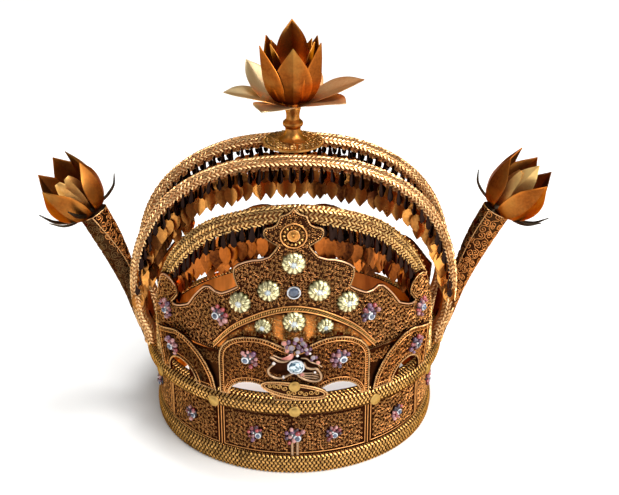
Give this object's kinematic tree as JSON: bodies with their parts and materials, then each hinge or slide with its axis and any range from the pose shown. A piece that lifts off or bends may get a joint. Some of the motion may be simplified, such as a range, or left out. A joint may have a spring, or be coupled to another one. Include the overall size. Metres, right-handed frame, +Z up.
{
  "type": "royal crown",
  "caption": "Free-standing royal crown of gold filigree: a round circlet with a pierced crest, a jewelled front diadem, plaited arches with leaf fringes, a lotus finial and flower horns.",
  "frame": {"origin": "middle of the flat foot of the circlet, on the surface that the crown stands on", "axes": "+Z up, -Y towards the front with the diadem, +X towards the right horn of somebody who looks at the front"},
  "size_m": [0.3382, 0.2113, 0.2661],
  "materials": {
    "filigree_gold": "reddish gold filigree wire on sheet, worn bright on top and brown in the hollows",
    "plaited_gold": "plaited gold wire, bright yellow on the wires",
    "leaf_gold": "thin beaten gold leaf drops, satin",
    "sheet_gold": "coppery beaten gold sheet, satin with a dull patina",
    "pale_gold": "pale greenish yellow gold with small clear stones",
    "jewelled_gold": "gold settings with red, dark blue and clear stones"
  },
  "bodies": {
    "root": {"bud_left": "sheet_gold", "bud_right": "sheet_gold", "circlet": "filigree_gold", "collet_stone": "pale_gold", "crest_front": "filigree_gold", "crest_front_left": "filigree_gold", "crest_front_right": "filigree_gold", "crest_rear": "filigree_gold", "crest_rear_left": "filigree_gold", "crest_rear_right": "filigree_gold", "crest_side_left": "filigree_gold", "crest_side_right": "filigree_gold", "diadem": "filigree_gold", "finial_plate": "filigree_gold", "finial_stem": "sheet_gold", "fringe_front": "leaf_gold", "fringe_hoop": "leaf_gold", "fringe_rear": "leaf_gold", "front_hoop": "plaited_gold", "gem_rosette_circlet_1": "jewelled_gold", "gem_rosette_circlet_10": "jewelled_gold", "gem_rosette_circlet_11": "jewelled_gold", "gem_rosette_circlet_12": "jewelled_gold", "gem_rosette_circlet_2": "jewelled_gold", "gem_rosette_circlet_3": "jewelled_gold", "gem_rosette_circlet_4": "jewelled_gold", "gem_rosette_circlet_5": "jewelled_gold", "gem_rosette_circlet_6": "jewelled_gold", "gem_rosette_circlet_7": "jewelled_gold", "gem_rosette_circlet_8": "jewelled_gold", "gem_rosette_circlet_9": "jewelled_gold", "gem_rosette_circlet_front": "jewelled_gold", "gem_rosette_crest_front_left": "jewelled_gold", "gem_rosette_crest_front_right": "jewelled_gold", "gem_rosette_crest_side_left": "jewelled_gold", "gem_rosette_crest_side_right": "jewelled_gold", "gem_rosette_diadem_end_left": "jewelled_gold", "gem_rosette_diadem_end_right": "jewelled_gold", "gem_rosette_diadem_wing_left": "jewelled_gold", "gem_rosette_diadem_wing_right": "jewelled_gold", "gold_rosette_1": "pale_gold", "gold_rosette_2": "pale_gold", "gold_rosette_3": "pale_gold", "gold_rosette_4": "pale_gold", "gold_rosette_5": "pale_gold", "gold_rosette_6": "pale_gold", "gold_rosette_7": "pale_gold", "gold_rosette_8": "pale_gold", "high_arch_front": "plaited_gold", "high_arch_rear": "plaited_gold", "horn_left": "filigree_gold", "horn_right": "filigree_gold", "lotus_heart": "sheet_gold", "lotus_leaves": "sheet_gold", "lotus_petals": "sheet_gold", "navette": "filigree_gold", "sepals_left": "sheet_gold", "sepals_right": "sheet_gold", "spray": "jewelled_gold"}
  },
  "joints": []
}
